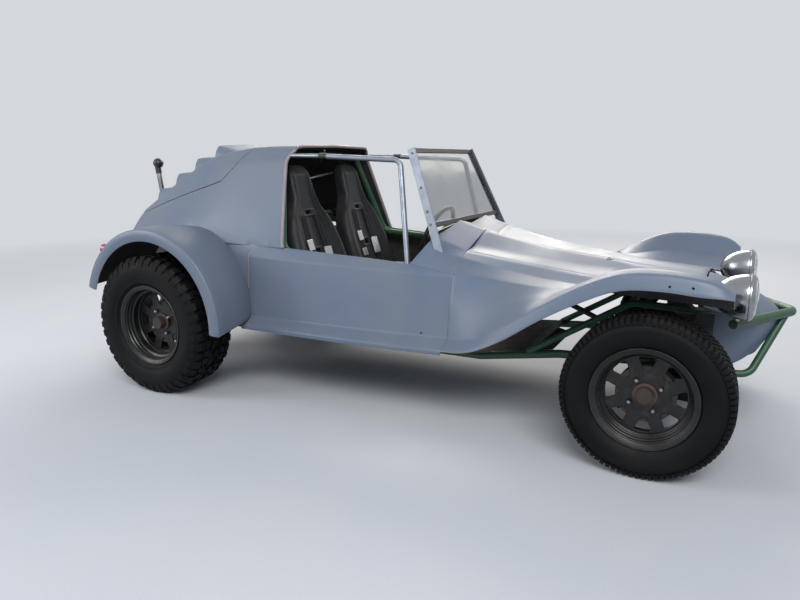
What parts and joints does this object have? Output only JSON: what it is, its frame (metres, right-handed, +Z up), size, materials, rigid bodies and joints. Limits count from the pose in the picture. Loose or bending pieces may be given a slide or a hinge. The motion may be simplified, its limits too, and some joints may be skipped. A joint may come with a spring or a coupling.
{
  "type": "dune buggy",
  "caption": "Open-sided two-seat dune buggy with a fastback louvred engine lid, flared fenders, bullet headlamps, tube frame and spoked steel wheels.",
  "frame": {"origin": "on the ground, under the middle of the overall box", "axes": "+X forward, +Y to the vehicle's left, +Z up"},
  "size_m": [3.5542, 1.84, 1.292],
  "materials": {
    "primer": "satin",
    "frame_green": "gloss",
    "black_steel": "satin",
    "bumper_paint": "gloss",
    "black_plastic": "matt",
    "frame_bronze": "satin",
    "glass": "clear",
    "lamp_glass": "clear",
    "cast_alloy": "cast",
    "cast_iron": "rough",
    "wheel_black": "gloss",
    "tyre": "matt",
    "seat_cloth": "matt",
    "silver": "satin",
    "bar_grey": "satin",
    "chrome": "polished",
    "red_lens": "gloss"
  },
  "bodies": {
    "chassis": {"body_side_left": "primer", "body_side_right": "primer", "bumper": "bumper_paint", "cabin_shell": "primer", "chassis_frame": "frame_green", "cowl": "primer", "dash": "black_plastic", "engine": "cast_alloy", "floor_pan": "black_steel", "front_arms_left": "black_steel", "front_arms_right": "black_steel", "front_beam": "black_steel", "front_fender_left": "primer", "front_fender_right": "primer", "headlamp_left": "chrome", "headlamp_lens_left": "lamp_glass", "headlamp_lens_right": "lamp_glass", "headlamp_right": "chrome", "hood": "primer", "pillar_left": "silver", "pillar_right": "silver", "prow": "primer", "rear_axle_left": "black_steel", "rear_axle_right": "black_steel", "rear_fender_left": "primer", "rear_fender_right": "primer", "roll_cage": "frame_green", "seat_left": "seat_cloth", "seat_right": "seat_cloth", "side_bar_left": "bar_grey", "side_bar_right": "bar_grey", "steering_column": "black_steel", "steering_links": "black_steel", "tail_lamps": "red_lens", "tail_panel": "primer", "torsion_tube": "black_steel", "transaxle": "cast_alloy", "wheel_well_left": "primer", "wheel_well_right": "primer", "windscreen_frame": "frame_bronze", "windscreen_glass": "glass"},
    "front_wheel_right": {"front_rim_right": "wheel_black", "front_tyre_right": "tyre", "front_drum_right": "cast_iron"},
    "rear_wheel_right": {"rear_rim_right": "wheel_black", "rear_tyre_right": "tyre", "rear_drum_right": "cast_iron"},
    "knuckle_right": {"knuckle_right": "black_steel"},
    "front_wheel_left": {"front_rim_left": "wheel_black", "front_tyre_left": "tyre", "front_drum_left": "cast_iron"},
    "rear_wheel_left": {"rear_rim_left": "wheel_black", "rear_tyre_left": "tyre", "rear_drum_left": "cast_iron"},
    "knuckle_left": {"knuckle_left": "black_steel"},
    "engine_lid": {"engine_lid": "primer"},
    "steering_wheel": {"steering_wheel": "black_plastic"}
  },
  "joints": [
    {"name": "steer_right", "type": "hinge", "parent": "chassis", "child": "knuckle_right", "pos_m": [1.2725, -0.56, 0.315], "axis": [0, 0, 1], "range_deg": [-30, 30]},
    {"name": "front_wheel_right_spin", "type": "hinge", "parent": "knuckle_right", "child": "front_wheel_right", "pos_m": [1.2725, -0.735, 0.315], "axis": [0, 1, 0], "continuous": true},
    {"name": "rear_wheel_right_spin", "type": "hinge", "parent": "chassis", "child": "rear_wheel_right", "pos_m": [-1.1275, -0.89, 0.362], "axis": [0, 1, 0], "continuous": true},
    {"name": "steer_left", "type": "hinge", "parent": "chassis", "child": "knuckle_left", "pos_m": [1.2725, 0.56, 0.315], "axis": [0, 0, 1], "range_deg": [-30, 30]},
    {"name": "front_wheel_left_spin", "type": "hinge", "parent": "knuckle_left", "child": "front_wheel_left", "pos_m": [1.2725, 0.735, 0.315], "axis": [0, 1, 0], "continuous": true},
    {"name": "rear_wheel_left_spin", "type": "hinge", "parent": "chassis", "child": "rear_wheel_left", "pos_m": [-1.1275, 0.89, 0.362], "axis": [0, 1, 0], "continuous": true},
    {"name": "steering_wheel_turn", "type": "hinge", "parent": "chassis", "child": "steering_wheel", "pos_m": [-0.0175, 0.255, 0.77], "axis": [-0.9189, 0, 0.3945], "range_deg": [-420, 420]},
    {"name": "engine_lid_hinge", "type": "hinge", "parent": "chassis", "child": "engine_lid", "pos_m": [-0.7825, 0, 1.284], "axis": [0, 1, 0], "range_deg": [0, 65]}
  ],
  "couplings": [
    {"joint": "steer_left", "follows": "steer_right", "ratio": 1},
    {"joint": "steering_wheel_turn", "follows": "steer_right", "ratio": 14}
  ]
}
